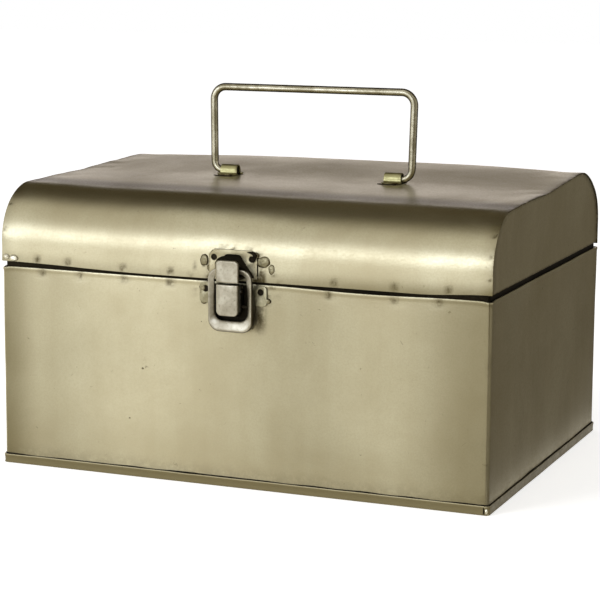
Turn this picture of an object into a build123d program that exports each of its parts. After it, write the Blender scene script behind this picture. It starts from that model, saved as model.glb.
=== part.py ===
from build123d import *
import os

os.makedirs("parts", exist_ok=True)

# Small sheet-steel tool box: a wrapped body on a rimmed base, a lid with rounded
# front and rear edges, a wire handle, two rear hinges and a draw latch in front.
# Millimetres. X runs to the right, Y to the back, Z up. The origin is the centre
# of the footprint, on the surface the box stands on.

# Box
WIDTH = 280.0
DEPTH = 205.0
SHEET = 0.8
BODY_TOP = 110.0
LID_GAP = 2.8
BODY_CORNER_R = 2.0
LID_STRAIGHT = 11.2
LID_EDGE_R = 30.0

# Base rim, folded up outside the walls
RIM_HEIGHT = 4.9
RIM_THICKNESS = 1.0

# Lip inside the body's mouth, which the lid closes over: drop and rise are from the body's top edge
LIP_FOOT = 3.5
LIP_DROP = 1.0
LIP_RISE = 6.0
LIP_INSET = 1.0
LIP_CORNER_R = 1.2

# Running clearances
PIN_PLAY = 0.06
FIXED_PLAY = 0.03
SIDE_PLAY = 0.1

# Wire handle and the saddles that hold it: setback is from a leg's centre line to the middle of its saddle
WIRE_R = 2.0
WIRE_LIFT = 0.1
HANDLE_SPAN = 120.7
HANDLE_RISE = 50.3
HANDLE_TOP_R = 7.2
HANDLE_FOOT_R = 5.2
SADDLE_SETBACK = 10.35
SADDLE_WIDTH = 10.0
SADDLE_SHEET = 1.0
SADDLE_FOOT = 5.0
WIRE_END = 1.6

# Rear hinges
HINGE_X = 82.0
HINGE_WIDTH = 30.0
HINGE_SHEET = 0.8
KNUCKLE_R = 2.2
KNUCKLE_GAP = 0.2
MIDDLE_KNUCKLE = 10.8
HINGE_PIN_R = 1.25
WALL_PLAY = 0.3
LEAF_CORNER_R = 2.0
LEAF_HEIGHT = 14.0
RIVET_PITCH = 20.0
RIVET_R = 1.3
RIVET_HEAD_R = 2.3
RIVET_HEAD = 1.1
RIVET_TAPER = 25.0
RIVET_TAIL = 0.7
RIVET_DROP = 10.0

# Keeper on the lid: reach is out from the front wall, heights are above the lid's lower edge
LATCH_X = -1.2
PLATE_SHEET = 0.9
HOOK_SHEET = 1.2
HOOK_WIDTH = 13.0
HOOK_REACH = 9.6
HOOK_HEIGHT = 10.2
HOOK_CORNER_R = 2.6
HOOK_BEND_R = 2.4
KEEPER_WIDTH = 27.3
KEEPER_HEIGHT = 14.8
KEEPER_CHAMFER = 3.0
KEEPER_HOLE_X = 10.8
KEEPER_HOLE_HEIGHT = 10.4
OPEN_HOLE_R = 1.7
WINDOW_WIDTH = 11.5
WINDOW_START = 3.7
WINDOW_HEIGHT = 8.7
WINDOW_CORNER_R = 3.2

# Latch on the body: fronts, backs and pins are out from the front wall, drops are below the body's top edge
BASE_WIDTH = 22.0
BASE_DROP = 0.4
BASE_HEIGHT = 23.6
WING_WIDTH = 38.4
WING_HEIGHT = 11.0
WING_CORNER_R = 2.2
WING_HOLE_X = 15.7
WING_HOLE_DROP = 3.8
LATCH_PIN_R = 1.0
LEVER_PIN_OUT = 5.2
LEVER_PIN_DROP = 3.4
LOOP_PIN_OUT = 4.1
LOOP_PIN_DROP = 11.4
EAR_R = 2.3
EAR_SHEET = 1.0
EAR_ROOT = 0.4
LEVER_WIDTH = 14.4
LEVER_SHEET = 1.2
LEVER_FRONT = 9.0
LEVER_DROP = 16.1
LEVER_HEIGHT = 16.4
LEVER_CORNER_R = 3.0
LEVER_TOP_R = 0.8
FLANGE_LAP = 0.8
LOOP_WIDTH = 24.4
LOOP_DROP = 25.2
LOOP_HEIGHT = 33.4
LOOP_SIDE = 2.5
LOOP_FOOT = 5.6
LOOP_FRONT = 7.2
LOOP_BACK = 1.8
LOOP_BAR = 2.4
LOOP_TAPER_DROP = 9.0
LOOP_TAPER_HEIGHT = 12.0
LOOP_CORNER_R = 5.5
LOOP_WINDOW_R = 3.2
LOOP_EDGE_R = 0.7
PIN_PROUD = 0.4

# Planes and levels that follow from the above
LID_BOTTOM = BODY_TOP + LID_GAP
HEIGHT = LID_BOTTOM + LID_STRAIGHT + LID_EDGE_R
HANDLE_TOP = HEIGHT + HANDLE_RISE
LIP_SHELF = BODY_TOP - LIP_DROP
LIP_TOP = BODY_TOP + LIP_RISE
FRONT = Plane.XZ.offset(DEPTH / 2)
BACK = Plane(origin=(0, DEPTH / 2, 0), x_dir=(-1, 0, 0), z_dir=(0, 1, 0))
WIRE_Z = HEIGHT + WIRE_R + WIRE_LIFT
HINGE_Y = DEPTH / 2 + WALL_PLAY + KNUCKLE_R
HINGE_Z = BODY_TOP + LID_GAP / 2
HOOK_TOP = LID_BOTTOM + HOOK_HEIGHT
WINDOW_MIDDLE = LID_BOTTOM + WINDOW_START + WINDOW_HEIGHT / 2
BASE_TOP = BODY_TOP - BASE_DROP
LEVER_PIN = (LEVER_PIN_OUT, BODY_TOP - LEVER_PIN_DROP)
LOOP_PIN = (LOOP_PIN_OUT, BODY_TOP - LOOP_PIN_DROP)
LEVER_BOTTOM = BODY_TOP - LEVER_DROP
LOOP_BOTTOM = BODY_TOP - LOOP_DROP
LOOP_TOP = LOOP_BOTTOM + LOOP_HEIGHT
LOOP_TAPER_START = BODY_TOP - LOOP_TAPER_DROP
LOOP_TAPER_END = LOOP_TAPER_START + LOOP_TAPER_HEIGHT
INNER_LEVER = LEVER_WIDTH / 2 - LEVER_SHEET
EAR_OUTER = INNER_LEVER - SIDE_PLAY
HINGES = {"left": -HINGE_X, "right": HINGE_X}


def latch_side(x=0.0):
    """Plane across the latch: local x runs out from the front wall, local y up."""
    return Plane(origin=(LATCH_X + x, -DEPTH / 2, 0), x_dir=(0, -1, 0), z_dir=(-1, 0, 0))


def finish(piece, name):
    """Label a piece and write its file."""
    piece.label = name
    export_step(piece, f"parts/{name}.step")


def lid_end_outline(inset):
    """End view of the lid, drawn inset from its outer skin: flat top, round front and rear."""
    half = DEPTH / 2 - inset
    spring = HEIGHT - LID_EDGE_R
    radius = LID_EDGE_R - inset
    with BuildSketch() as outline:
        with BuildLine():
            Polyline((half, spring), (half, LID_BOTTOM), (-half, LID_BOTTOM), (-half, spring))
            CenterArc((-half + radius, spring), radius, 180, -90)
            Line((-half + radius, HEIGHT - inset), (half - radius, HEIGHT - inset))
            CenterArc((half - radius, spring), radius, 0, 90)
        make_face()
    return outline.sketch


def rivet_places(z):
    """Rivet centres on the rear wall, two for each hinge, at height z."""
    return [(x + side * RIVET_PITCH / 2, z) for x in HINGES.values() for side in (-1, 1)]


BODY_RIVETS = rivet_places(HINGE_Z - RIVET_DROP)
LID_RIVETS = rivet_places(HINGE_Z + RIVET_DROP)
LID_FACE = lid_end_outline(0)
LID_CAVITY = lid_end_outline(SHEET)

# Body: one band of sheet bent round four soft corners
with BuildPart() as body_shell:
    with BuildSketch(Plane.XY.offset(SHEET)):
        RectangleRounded(WIDTH, DEPTH, BODY_CORNER_R)
        RectangleRounded(WIDTH - 2 * SHEET, DEPTH - 2 * SHEET, BODY_CORNER_R - SHEET, mode=Mode.SUBTRACT)
    extrude(amount=BODY_TOP - SHEET)
    with BuildSketch(BACK):
        with Locations(*BODY_RIVETS):
            Circle(RIVET_R + FIXED_PLAY)
    extrude(amount=-SHEET, mode=Mode.SUBTRACT)
finish(body_shell.part, "body_shell")

# Base: a flat floor with its edge folded up outside the walls
with BuildPart() as bottom_pan:
    with BuildSketch():
        RectangleRounded(WIDTH + 2 * RIM_THICKNESS, DEPTH + 2 * RIM_THICKNESS, BODY_CORNER_R + RIM_THICKNESS)
    extrude(amount=RIM_HEIGHT)
    with BuildSketch(Plane.XY.offset(SHEET)):
        RectangleRounded(WIDTH, DEPTH, BODY_CORNER_R)
    extrude(amount=RIM_HEIGHT, mode=Mode.SUBTRACT)
finish(bottom_pan.part, "bottom_pan")

# Lip: welded inside the wall, with a step that brings its upper half clear of the lid.
# Each band is its inset from the wall, its thickness, its bottom and its top.
LIP_BANDS = [
    (0, SHEET, LIP_SHELF - LIP_FOOT, LIP_SHELF),
    (0, SHEET + LIP_INSET, LIP_SHELF - SHEET, LIP_SHELF),
    (LIP_INSET, SHEET, LIP_SHELF - SHEET, LIP_TOP),
]
with BuildPart() as body_lip:
    for inset, band, bottom, top in LIP_BANDS:
        outer = SHEET + inset
        inner = outer + band
        with BuildSketch(Plane.XY.offset(bottom)):
            RectangleRounded(WIDTH - 2 * outer, DEPTH - 2 * outer, LIP_CORNER_R)
            Rectangle(WIDTH - 2 * inner, DEPTH - 2 * inner, mode=Mode.SUBTRACT)
        extrude(amount=top - bottom)
finish(body_lip.part, "body_lip")

# Lid: a wrapped sheet closed by two end plates
with BuildPart() as lid_cover:
    with BuildSketch(Plane.YZ.offset(-WIDTH / 2 + SHEET)):
        add(LID_FACE)
        add(LID_CAVITY, mode=Mode.SUBTRACT)
    extrude(amount=WIDTH - 2 * SHEET)
    with BuildSketch(BACK):
        with Locations(*LID_RIVETS):
            Circle(RIVET_R + FIXED_PLAY)
    extrude(amount=-SHEET, mode=Mode.SUBTRACT)
finish(lid_cover.part, "lid_cover")

for side_name, start in {"left": -WIDTH / 2, "right": WIDTH / 2 - SHEET}.items():
    with BuildPart() as lid_end:
        with BuildSketch(Plane.YZ.offset(start)):
            add(LID_FACE)
        extrude(amount=SHEET)
    finish(lid_end.part, f"lid_end_{side_name}")

# Handle: a wire bail whose turned-in feet lie under the two saddles
HANDLE_LEG = HANDLE_SPAN / 2
SADDLE_X = HANDLE_LEG - SADDLE_SETBACK
WIRE_TIP = SADDLE_X - SADDLE_WIDTH / 2 - WIRE_END
with BuildPart() as handle_bail:
    with BuildLine(Plane.XZ):
        FilletPolyline(
            (-WIRE_TIP, WIRE_Z),
            (-HANDLE_LEG, WIRE_Z),
            (-HANDLE_LEG, HANDLE_TOP),
            (HANDLE_LEG, HANDLE_TOP),
            (HANDLE_LEG, WIRE_Z),
            (WIRE_TIP, WIRE_Z),
            radius=[HANDLE_FOOT_R, HANDLE_TOP_R, HANDLE_TOP_R, HANDLE_FOOT_R],
        )
    with BuildSketch(Plane(origin=(-WIRE_TIP, 0, WIRE_Z), z_dir=(-1, 0, 0))):
        Circle(WIRE_R)
    sweep()
finish(handle_bail.part, "handle_bail")

# Saddles: strips arched over the wire, with a flat foot in front and behind
SADDLE_BORE = WIRE_R + PIN_PLAY
SADDLE_OUTER = SADDLE_BORE + SADDLE_SHEET
SADDLE_REACH = SADDLE_OUTER + SADDLE_FOOT
for side_name, side in {"left": -1, "right": 1}.items():
    with BuildPart() as saddle:
        with BuildSketch(Plane.YZ.offset(side * SADDLE_X)):
            with Locations((0, WIRE_Z)):
                Circle(SADDLE_OUTER)
            with Locations((0, HEIGHT)):
                Rectangle(2 * SADDLE_OUTER, WIRE_Z - HEIGHT, align=(Align.CENTER, Align.MIN))
                Rectangle(2 * SADDLE_REACH, SADDLE_SHEET, align=(Align.CENTER, Align.MIN))
            with Locations((0, WIRE_Z)):
                Circle(SADDLE_BORE, mode=Mode.SUBTRACT)
            with Locations((0, HEIGHT)):
                Rectangle(2 * SADDLE_BORE, WIRE_Z - HEIGHT, align=(Align.CENTER, Align.MIN), mode=Mode.SUBTRACT)
                Rectangle(2 * SADDLE_REACH, SADDLE_REACH, align=(Align.CENTER, Align.MAX), mode=Mode.SUBTRACT)
        extrude(amount=SADDLE_WIDTH / 2, both=True)
    finish(saddle.part, f"handle_saddle_{side_name}")


def hinge_leaf(center, own_spans, other_spans, up):
    """A leaf on the rear wall with its rolled knuckles: up is 1 for the lid's leaf, -1 for the body's."""
    near = HINGE_Z + up * LID_GAP / 2
    far_edge = -1 if up > 0 else 0
    bore = HINGE_PIN_R + (PIN_PLAY if up > 0 else FIXED_PLAY)
    places = LID_RIVETS if up > 0 else BODY_RIVETS
    with BuildPart() as leaf:
        with BuildSketch(BACK) as flat:
            with Locations((-center, near + up * LEAF_HEIGHT / 2)):
                Rectangle(HINGE_WIDTH, LEAF_HEIGHT)
            fillet(flat.vertices().group_by(Axis.Y)[far_edge], LEAF_CORNER_R)
            with Locations(*places):
                Circle(RIVET_R + FIXED_PLAY, mode=Mode.SUBTRACT)
        extrude(amount=HINGE_SHEET)
        for start, stop in other_spans:
            with BuildSketch(Plane.YZ.offset(start - KNUCKLE_GAP)):
                with Locations((HINGE_Y, HINGE_Z)):
                    Circle(KNUCKLE_R + SIDE_PLAY)
            extrude(amount=stop - start + 2 * KNUCKLE_GAP, mode=Mode.SUBTRACT)
        for start, stop in own_spans:
            with BuildSketch(Plane.YZ.offset(start)):
                with Locations(((DEPTH + HINGE_SHEET) / 2, (HINGE_Z + near) / 2)):
                    Rectangle(HINGE_SHEET, LID_GAP / 2)
                with Locations((HINGE_Y, HINGE_Z)):
                    Circle(KNUCKLE_R)
            extrude(amount=stop - start)
        with BuildSketch(Plane.YZ.offset(center)):
            with Locations((HINGE_Y, HINGE_Z)):
                Circle(bore)
        extrude(amount=HINGE_WIDTH, both=True, mode=Mode.SUBTRACT)
    return leaf.part


for side_name, center in HINGES.items():
    half_middle = MIDDLE_KNUCKLE / 2
    half_hinge = HINGE_WIDTH / 2
    middle = [(center - half_middle, center + half_middle)]
    outer = [
        (center - half_hinge, center - half_middle - KNUCKLE_GAP),
        (center + half_middle + KNUCKLE_GAP, center + half_hinge),
    ]
    finish(hinge_leaf(center, outer, middle, -1), f"hinge_{side_name}_body_leaf")
    finish(hinge_leaf(center, middle, outer, 1), f"hinge_{side_name}_lid_leaf")
    with BuildPart() as hinge_pin:
        with BuildSketch(Plane.YZ.offset(center)):
            with Locations((HINGE_Y, HINGE_Z)):
                Circle(HINGE_PIN_R)
        extrude(amount=half_hinge, both=True)
    finish(hinge_pin.part, f"hinge_{side_name}_pin")


def rivet_group(places):
    """Rivets through a leaf and the wall behind it: a tapered head outside, a flattened tail inside."""
    with BuildPart() as group:
        with BuildSketch(BACK.offset(HINGE_SHEET)):
            with Locations(*places):
                Circle(RIVET_HEAD_R)
        extrude(amount=RIVET_HEAD, taper=RIVET_TAPER)
        with BuildSketch(BACK.offset(-SHEET)):
            with Locations(*places):
                Circle(RIVET_R)
        extrude(amount=SHEET + HINGE_SHEET)
        with BuildSketch(BACK.offset(-SHEET - RIVET_TAIL)):
            with Locations(*places):
                Circle(RIVET_HEAD_R)
        extrude(amount=RIVET_TAIL)
    return group.part


finish(rivet_group(BODY_RIVETS), "hinge_body_rivets")
finish(rivet_group(LID_RIVETS), "hinge_lid_rivets")

# Keeper: a plate on the lid's front wall with an open hook bent out of its lower edge
HOOK_INNER = HOOK_REACH - HOOK_SHEET
with BuildPart() as keeper_plate:
    with BuildSketch(FRONT) as plate:
        with Locations((LATCH_X, LID_BOTTOM)):
            Rectangle(KEEPER_WIDTH, KEEPER_HEIGHT, align=(Align.CENTER, Align.MIN))
        chamfer(plate.vertices().group_by(Axis.Y)[-1], KEEPER_CHAMFER)
        with Locations(*[(LATCH_X + side * KEEPER_HOLE_X, LID_BOTTOM + KEEPER_HOLE_HEIGHT) for side in (-1, 1)]):
            Circle(OPEN_HOLE_R, mode=Mode.SUBTRACT)
        with Locations((LATCH_X, WINDOW_MIDDLE)):
            RectangleRounded(WINDOW_WIDTH, WINDOW_HEIGHT, WINDOW_CORNER_R, mode=Mode.SUBTRACT)
    extrude(amount=PLATE_SHEET)
    with BuildSketch(latch_side()) as hook:
        with Locations((0, LID_BOTTOM)):
            Rectangle(HOOK_REACH, HOOK_HEIGHT, align=(Align.MIN, Align.MIN))
        fillet(hook.vertices().group_by(Axis.X)[-1].sort_by(Axis.Y)[0], HOOK_BEND_R)
        with Locations((0, LID_BOTTOM + HOOK_SHEET)):
            Rectangle(HOOK_INNER, HOOK_TOP, align=(Align.MIN, Align.MIN), mode=Mode.SUBTRACT)
    extrude(amount=HOOK_WIDTH / 2, both=True)
    tongue_edges = keeper_plate.edges().filter_by(Axis.Y)
    tongue_edges = tongue_edges.filter_by_position(Axis.Y, -DEPTH / 2 - HOOK_REACH, -DEPTH / 2 - HOOK_INNER)
    fillet(tongue_edges.group_by(Axis.Z)[-1], HOOK_CORNER_R)
finish(keeper_plate.part, "keeper_plate")

# Latch base: a winged plate on the body with two ears for the lever's pin
with BuildPart() as latch_base_plate:
    with BuildSketch(FRONT) as plate:
        with Locations((LATCH_X, BASE_TOP)):
            Rectangle(WING_WIDTH, WING_HEIGHT, align=(Align.CENTER, Align.MAX))
        fillet(plate.vertices(), WING_CORNER_R)
        with Locations((LATCH_X, BASE_TOP)):
            Rectangle(BASE_WIDTH, BASE_HEIGHT, align=(Align.CENTER, Align.MAX))
        with Locations(*[(LATCH_X + side * WING_HOLE_X, BODY_TOP - WING_HOLE_DROP) for side in (-1, 1)]):
            Circle(OPEN_HOLE_R, mode=Mode.SUBTRACT)
    extrude(amount=PLATE_SHEET)
    for side in (-1, 1):
        with BuildSketch(latch_side(side * (EAR_OUTER - EAR_SHEET / 2))):
            with Locations(LEVER_PIN):
                Circle(EAR_R)
            with Locations((EAR_ROOT, LEVER_PIN[1])):
                Rectangle(LEVER_PIN[0] - EAR_ROOT, 2 * EAR_R, align=(Align.MIN, Align.CENTER))
            with Locations(LEVER_PIN):
                Circle(LATCH_PIN_R + FIXED_PLAY, mode=Mode.SUBTRACT)
        extrude(amount=EAR_SHEET / 2, both=True)
finish(latch_base_plate.part, "latch_base_plate")

# Lever: a bent cover with two flanges that carry both pins
LEVER_INNER = LEVER_FRONT - LEVER_SHEET
with BuildPart() as latch_lever:
    with BuildSketch(FRONT.offset(LEVER_INNER)) as cover:
        with Locations((LATCH_X, LEVER_BOTTOM)):
            Rectangle(LEVER_WIDTH, LEVER_HEIGHT, align=(Align.CENTER, Align.MIN))
        fillet(cover.vertices().group_by(Axis.Y)[0], LEVER_CORNER_R)
        fillet(cover.vertices().group_by(Axis.Y)[-1], LEVER_TOP_R)
    extrude(amount=LEVER_SHEET)
    for side in (-1, 1):
        with BuildSketch(latch_side(side * (LEVER_WIDTH - LEVER_SHEET) / 2)):
            with BuildLine():
                Polyline(
                    (LEVER_PIN[0], LEVER_PIN[1] + EAR_R),
                    (LEVER_INNER + FLANGE_LAP, LEVER_PIN[1] + EAR_R),
                    (LEVER_INNER + FLANGE_LAP, LOOP_PIN[1] - EAR_R),
                    (LOOP_PIN[0], LOOP_PIN[1] - EAR_R),
                    (LOOP_PIN[0] - EAR_R, LOOP_PIN[1]),
                    (LEVER_PIN[0] - EAR_R, LEVER_PIN[1]),
                    close=True,
                )
            make_face()
            with Locations(LEVER_PIN, LOOP_PIN):
                Circle(EAR_R)
            with Locations(LEVER_PIN):
                Circle(LATCH_PIN_R + PIN_PLAY, mode=Mode.SUBTRACT)
            with Locations(LOOP_PIN):
                Circle(LATCH_PIN_R + FIXED_PLAY, mode=Mode.SUBTRACT)
        extrude(amount=LEVER_SHEET / 2, both=True)
finish(latch_lever.part, "latch_lever")

# Loop: a closed ring with a broad finger bar below and a slim bar behind the hook
LOOP_CENTER = (LATCH_X, (LOOP_BOTTOM + LOOP_TOP) / 2)
LOOP_BAR_BACK = LOOP_FRONT - LOOP_BAR
WINDOW_LOW = LOOP_BOTTOM + LOOP_FOOT
WINDOW_HIGH = LOOP_TOP - LOOP_BAR
with BuildPart() as latch_loop:
    with BuildSketch(FRONT.offset(LOOP_BACK)):
        with Locations(LOOP_CENTER):
            RectangleRounded(LOOP_WIDTH, LOOP_HEIGHT, LOOP_CORNER_R)
        with Locations((LATCH_X, (WINDOW_LOW + WINDOW_HIGH) / 2)):
            RectangleRounded(LOOP_WIDTH - 2 * LOOP_SIDE, WINDOW_HIGH - WINDOW_LOW, LOOP_WINDOW_R, mode=Mode.SUBTRACT)
    extrude(amount=LOOP_FRONT - LOOP_BACK)
    fillet(latch_loop.faces().sort_by(Axis.Y)[0].edges(), LOOP_EDGE_R)
    with BuildSketch(latch_side()):
        with BuildLine():
            Polyline(
                (0, LOOP_TAPER_START),
                (LOOP_BACK, LOOP_TAPER_START),
                (LOOP_BAR_BACK, LOOP_TAPER_END),
                (LOOP_BAR_BACK, HEIGHT),
                (0, HEIGHT),
                close=True,
            )
        make_face()
        with Locations(LOOP_PIN):
            Circle(LATCH_PIN_R + PIN_PLAY)
    extrude(amount=LOOP_WIDTH, both=True, mode=Mode.SUBTRACT)
finish(latch_loop.part, "latch_loop")

# Latch pins, and how far each reaches to either side of the latch's middle
LATCH_PINS = {
    "latch_lever_pin": (LEVER_PIN, LEVER_WIDTH / 2 + PIN_PROUD),
    "latch_loop_pin": (LOOP_PIN, LOOP_WIDTH / 2 - SIDE_PLAY),
}
for name, (place, reach) in LATCH_PINS.items():
    with BuildPart() as latch_pin:
        with BuildSketch(latch_side()):
            with Locations(place):
                Circle(LATCH_PIN_R)
        extrude(amount=reach, both=True)
    finish(latch_pin.part, name)
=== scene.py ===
import math
import bpy
import bmesh
from mathutils import Matrix, Vector, noise


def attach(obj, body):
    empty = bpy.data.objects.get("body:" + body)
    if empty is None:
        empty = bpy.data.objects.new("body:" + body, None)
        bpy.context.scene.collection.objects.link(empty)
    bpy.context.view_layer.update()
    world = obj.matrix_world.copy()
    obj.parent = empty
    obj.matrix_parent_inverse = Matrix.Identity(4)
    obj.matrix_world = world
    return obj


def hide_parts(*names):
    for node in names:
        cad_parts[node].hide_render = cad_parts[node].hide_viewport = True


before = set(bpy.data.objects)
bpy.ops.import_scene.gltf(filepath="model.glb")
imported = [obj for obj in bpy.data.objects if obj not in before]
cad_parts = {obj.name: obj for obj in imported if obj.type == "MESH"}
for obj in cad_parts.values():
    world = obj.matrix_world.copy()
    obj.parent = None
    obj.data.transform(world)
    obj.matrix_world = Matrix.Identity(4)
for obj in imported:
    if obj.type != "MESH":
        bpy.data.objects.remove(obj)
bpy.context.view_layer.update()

MM = 0.001
scene = bpy.context.scene

# The box's sizes in millimetres, the same as the CAD model's
WIDTH = 280.0
DEPTH = 205.0
HEIGHT = 154.0
SHEET = 0.8
BODY_TOP = 110.0
LID_BOTTOM = 112.8
LID_EDGE_R = 30.0
CORNER_R = 2.0
RIM_HEIGHT = 4.9
RIM_THICKNESS = 1.0

# Handle, saddles and latch: these follow the photograph, up to 1.3 mm from the CAD model
WIRE_R = 2.0
WIRE_SLIM = 0.985
WIRE_SWELL = 0.09
WIRE_WAVER = 0.03
WIRE_Z = 156.1
HANDLE_LEG = 60.35
HANDLE_TOP = 204.3
HANDLE_TOP_R = 7.2
HANDLE_FOOT_R = 6.4
HANDLE_SHIFT_LEFT = 1.2
HANDLE_SHIFT_RIGHT = 1.3
WIRE_TIP = 46.6
SADDLE_X = 50.0
SADDLE_SHEET = 0.9
SADDLE_BORE = 2.06
SADDLE_FOOT = 4.6
SADDLE_ARCH = 1.25
SADDLE_SHIFT_LEFT = 0.9
LATCH_X = -1.2
LOOP_LEFT = -13.0
LOOP_RIGHT = 12.0
LOOP_BOTTOM = 84.8
LOOP_TOP = 118.2
LOOP_SIDE = 3.3
LOOP_FOOT = 6.0
LOOP_DISH = 1.7
LOOP_BAR = 2.4
LOOP_FRONT = 7.2
LOOP_BACK = 1.2
LEVER_LEFT = -7.5
LEVER_RIGHT = 5.1
LEVER_BOTTOM = 93.6
LEVER_TOP = 110.4
LEVER_FRONT = 9.0
HOOK_LEFT = -7.1
HOOK_RIGHT = 5.6
HOOK_BOTTOM = 111.3
HOOK_TOP = 123.1
HOOK_FRONT = 9.6
LOOP_SQUARE_ACROSS = 0.55
LOOP_SQUARE_OUT = 0.52
OPEN_HOLE_R = 1.7
KEEPER_HOLE_X = 10.8
KEEPER_HOLE_Z = 123.2
WING_HOLE_X = 15.7
WING_HOLE_Z = 106.2

# Camera, fitted to the corners of the box in the photograph
CAMERA_PLACE = (455.8, -1120.2, 297.8)
CAMERA_YAW = 22.396
CAMERA_PITCH = 10.003
CAMERA_ROLL = 0.278
FOCAL_PIXELS = 2163.76
FRAME_PIXELS = 600
SENSOR = 36.0
CLIP_END = 50


def look_matrix(yaw, pitch, roll):
    """Rotation whose -Z looks along +Y turned by yaw towards -X and tipped down by pitch, in degrees."""
    yaw, pitch, roll = (math.radians(a) for a in (yaw, pitch, roll))
    forward = Vector((-math.sin(yaw) * math.cos(pitch), math.cos(yaw) * math.cos(pitch), -math.sin(pitch)))
    right = Vector((math.cos(yaw), math.sin(yaw), 0))
    up = right.cross(forward)
    level_right = math.cos(roll) * right + math.sin(roll) * up
    level_up = -math.sin(roll) * right + math.cos(roll) * up
    return Matrix((level_right, level_up, -forward)).transposed().to_4x4()


def make_camera():
    data = bpy.data.cameras.new("camera")
    data.sensor_width = SENSOR
    data.lens = FOCAL_PIXELS / FRAME_PIXELS * SENSOR
    data.clip_end = CLIP_END
    camera = bpy.data.objects.new("camera", data)
    scene.collection.objects.link(camera)
    turn = look_matrix(CAMERA_YAW, CAMERA_PITCH, CAMERA_ROLL)
    camera.matrix_world = Matrix.Translation(Vector(CAMERA_PLACE) * MM) @ turn
    scene.camera = camera


# Mesh helpers
def new_object(name, points, faces, marks=None):
    """Mesh object from points in millimetres; marks are named values for each point."""
    mesh = bpy.data.meshes.new(name)
    mesh.from_pydata([Vector(p) * MM for p in points], [], faces)
    mesh.validate()
    mesh.update()
    fix = bmesh.new()
    fix.from_mesh(mesh)
    bmesh.ops.recalc_face_normals(fix, faces=fix.faces)
    fix.to_mesh(mesh)
    fix.free()
    for polygon in mesh.polygons:
        polygon.use_smooth = True
    for key, values in (marks or {}).items():
        mesh.attributes.new(key, "FLOAT", "POINT").data.foreach_set("value", values)
    item = bpy.data.objects.new(name, mesh)
    scene.collection.objects.link(item)
    return item


def round_edges(item, width, segments=2, angle=40):
    bevel = item.modifiers.new("edge", "BEVEL")
    bevel.width = width * MM
    bevel.segments = segments
    bevel.limit_method = "ANGLE"
    bevel.angle_limit = math.radians(angle)
    bevel.harden_normals = True
    bevel.use_clamp_overlap = True


def dress(item, material, body):
    item.data.materials.clear()
    item.data.materials.append(material)
    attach(item, body)
    return item


def smoothstep(low, high, value):
    t = min(1.0, max(0.0, (value - low) / (high - low)))
    return t * t * (3 - 2 * t)


def bump_at(value, center, reach):
    """Round bump of height 1 at center that fades to 0 at reach."""
    t = abs(value - center) / reach
    return 0.0 if t >= 1 else (1 - t * t) ** 2


def wave(x, y, z, scale, seed):
    """Smooth noise from about -1 to 1 whose features are scale millimetres wide."""
    return noise.noise(Vector((x / scale + seed, y / scale - seed, z / scale + 2 * seed)))


def shell(name, rows, columns, outer, inner, closed_columns=False, **marks):
    """Closed skin with an outer and an inner side: outer(i, j) and inner(i, j) give points."""
    spots = [(i, j) for i in range(rows) for j in range(columns)]
    values = {key: [mark(i, j) for i, j in spots] * 2 for key, mark in marks.items()}
    points = [outer(i, j) for i, j in spots] + [inner(i, j) for i, j in spots]
    base = rows * columns
    wrap = columns if closed_columns else columns - 1
    faces = []
    for i in range(rows - 1):
        for j in range(wrap):
            k = (j + 1) % columns
            a, b, c, d = i * columns + j, i * columns + k, (i + 1) * columns + k, (i + 1) * columns + j
            faces.append((a, b, c, d))
            faces.append((base + d, base + c, base + b, base + a))
    for j in range(wrap):
        k = (j + 1) % columns
        for i, flip in ((0, False), (rows - 1, True)):
            a, b = i * columns + j, i * columns + k
            face = (a, base + a, base + b, b)
            faces.append(face[::-1] if flip else face)
    if not closed_columns:
        for i in range(rows - 1):
            for j, flip in ((0, True), (columns - 1, False)):
                a, b = i * columns + j, (i + 1) * columns + j
                face = (a, base + a, base + b, b)
                faces.append(face[::-1] if flip else face)
    return new_object(name, points, faces, values)


def tube(name, path, radius_at, sides=24, closed=False):
    """Round tube along points, with its own radius at each point and flat caps on an open tube's ends."""
    count = len(path)
    points = []
    for i, p in enumerate(path):
        before = path[(i - 1) % count] if closed or i else path[i]
        after = path[(i + 1) % count] if closed or i < count - 1 else path[i]
        along = (Vector(after) - Vector(before)).normalized()
        side = along.cross(Vector((0, 1, 0))).normalized()
        up = side.cross(along)
        for s in range(sides):
            angle = math.tau * s / sides
            points.append(Vector(p) + radius_at(i, angle) * (math.cos(angle) * side + math.sin(angle) * up))
    faces = []
    for i in range(count if closed else count - 1):
        for s in range(sides):
            a, b = i * sides + s, i * sides + (s + 1) % sides
            n = ((i + 1) % count) * sides
            faces.append((a, b, n + (s + 1) % sides, n + s))
    if not closed:
        faces.append(tuple(range(sides))[::-1])
        faces.append(tuple((count - 1) * sides + s for s in range(sides)))
    return new_object(name, points, faces)


def soften(node, name, width, segments=2, angle=35):
    """Copy of a CAD node with its sharp edges rounded, which then stands for the node."""
    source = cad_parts[node]
    mesh = source.data.copy()
    mesh.name = name
    work = bmesh.new()
    work.from_mesh(mesh)
    bmesh.ops.remove_doubles(work, verts=work.verts, dist=0.00001)
    bmesh.ops.dissolve_limit(work, angle_limit=math.radians(1), verts=work.verts, edges=work.edges)
    work.to_mesh(mesh)
    work.free()
    for polygon in mesh.polygons:
        polygon.use_smooth = True
    item = bpy.data.objects.new(name, mesh)
    scene.collection.objects.link(item)
    round_edges(item, width, segments, angle)
    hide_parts(node)
    return item


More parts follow.
